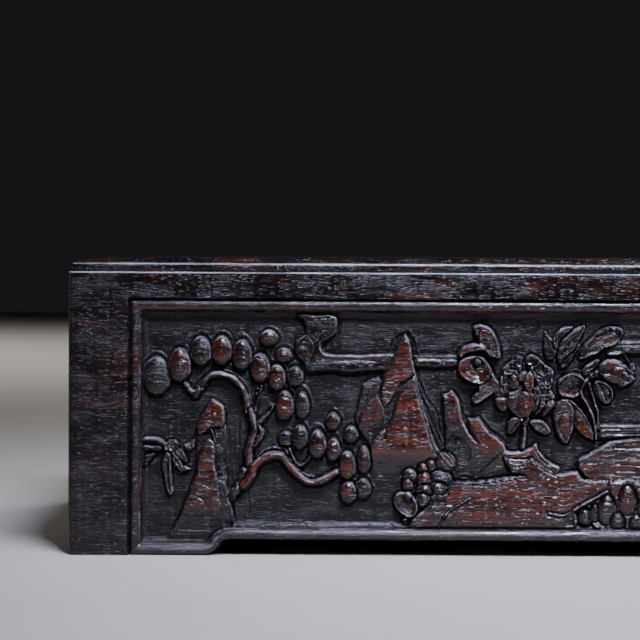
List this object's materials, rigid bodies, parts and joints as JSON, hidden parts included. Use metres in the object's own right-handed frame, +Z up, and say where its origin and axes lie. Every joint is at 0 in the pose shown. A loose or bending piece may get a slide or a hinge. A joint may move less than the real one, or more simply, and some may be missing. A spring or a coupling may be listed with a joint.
{
  "type": "ink stick and stone box",
  "caption": "Low rectangular dark wooden box on bracket feet, with carved sunk panels in a beaded frame, and a flat lid that lifts off wells for a stone, ink sticks and brushes.",
  "frame": {"origin": "middle of the footprint, on the plane that the feet stand on", "axes": "+Z up; +X along the length, to the right seen from the carved front; the carved front faces -Y"},
  "size_m": [0.316, 0.19, 0.0999],
  "materials": {
    "carved_wall": "satin, worn to red-brown on the raised carving",
    "lid_wood": "satin",
    "inner_wood": "dull, waxed"
  },
  "bodies": {
    "case": {"front_board": "carved_wall", "right_board": "carved_wall", "back_board": "carved_wall", "left_board": "carved_wall", "mitre_tongue_front_left": "inner_wood", "mitre_tongue_back_left": "inner_wood", "mitre_tongue_front_right": "inner_wood", "mitre_tongue_back_right": "inner_wood", "floor_board": "inner_wood", "floor_batten_left": "inner_wood", "floor_batten_right": "inner_wood", "long_partition": "inner_wood", "cross_partition": "inner_wood", "ink_rack": "inner_wood"},
    "lid": {"lid_board": "lid_wood", "lid_lip_front": "inner_wood", "lid_lip_right": "inner_wood", "lid_lip_back": "inner_wood", "lid_lip_left": "inner_wood", "lid_cleat_left": "inner_wood", "lid_cleat_right": "inner_wood"}
  },
  "joints": [
    {"name": "lid_lift", "type": "slide", "parent": "case", "child": "lid", "axis": [0, 0, 1], "range_m": [0, 0.06]}
  ]
}
